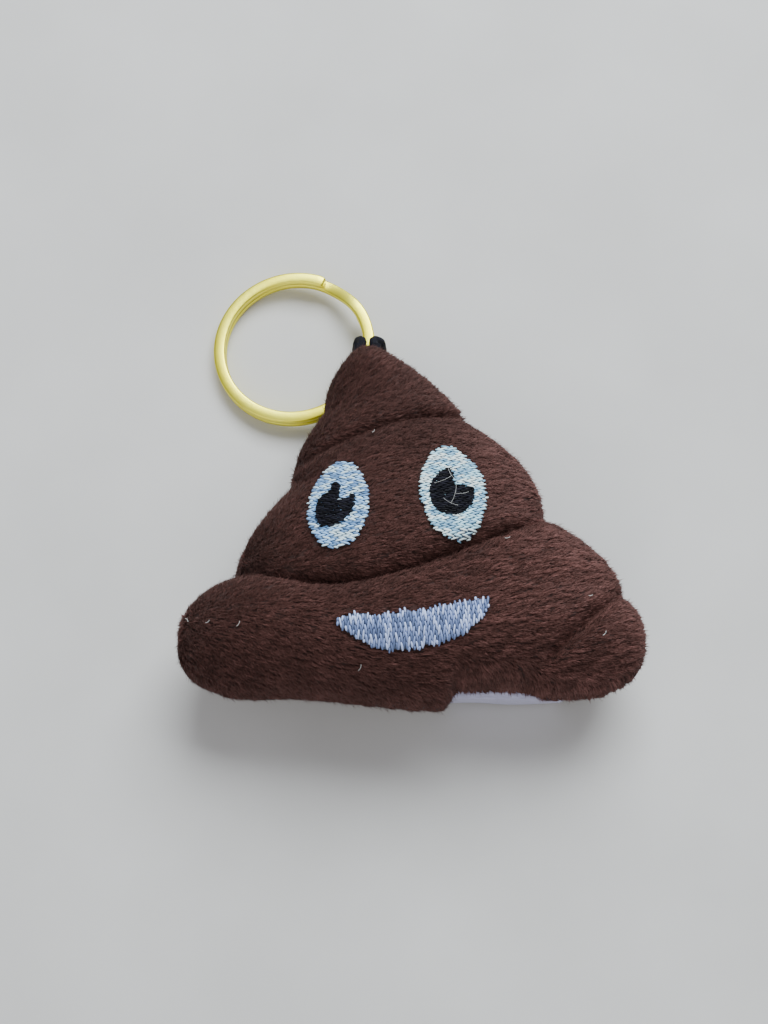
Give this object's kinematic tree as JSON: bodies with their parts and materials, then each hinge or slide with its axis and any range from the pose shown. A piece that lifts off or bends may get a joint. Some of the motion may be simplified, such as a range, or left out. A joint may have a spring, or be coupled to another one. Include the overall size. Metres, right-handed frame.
{
  "type": "plush keychain",
  "caption": "Small tiered soft plush body with an embroidered face, hung by a short cord loop from a flat-wire split ring.",
  "frame": {"origin": "on the surface that the plush rests on, under the middle of its flattened back", "axes": "+Z out of the face, +Y from the body towards the split ring, +X to the right of the face as seen from the front"},
  "size_m": [0.0696, 0.0743, 0.0269],
  "materials": {
    "plush_front": "matte",
    "plush_back": "matte",
    "filling": "matte",
    "backing": "matte",
    "white_thread": "satin",
    "black_thread": "satin",
    "brown_thread": "matte",
    "black_cord": "matte",
    "gilt_wire": "satin",
    "label_cloth": "satin"
  },
  "bodies": {
    "plush": {"front_panel": "plush_front", "back_panel": "plush_back", "stuffing": "filling", "embroidery_backing": "backing", "left_eye_white": "white_thread", "right_eye_white": "white_thread", "left_pupil": "black_thread", "right_pupil": "black_thread", "smile": "white_thread", "perimeter_seam": "brown_thread", "upper_crease_stitch": "brown_thread", "lower_crease_stitch": "brown_thread", "lobe_crease_stitch": "brown_thread", "closing_stitch": "brown_thread", "loop_tails": "black_cord", "loop_bar_tack": "brown_thread"},
    "loop": {"hanging_loop": "black_cord"},
    "ring": {"split_ring": "gilt_wire"},
    "label": {"care_label": "label_cloth"}
  },
  "joints": [
    {"name": "loop_swing", "type": "hinge", "parent": "plush", "child": "loop", "pos_m": [-0.0026, 0.0261, 0.0086], "axis": [1, 0, 0], "range_deg": [0, 135]},
    {"name": "ring_turn", "type": "hinge", "parent": "loop", "child": "ring", "pos_m": [-0.0146, 0.0272, 0.00237], "axis": [-0.0872, 0, 0.9962], "continuous": true},
    {"name": "label_flap", "type": "hinge", "parent": "plush", "child": "label", "pos_m": [0.01825, -0.0322, 0.0108], "axis": [1, 0, 0], "range_deg": [-80, 0]}
  ]
}
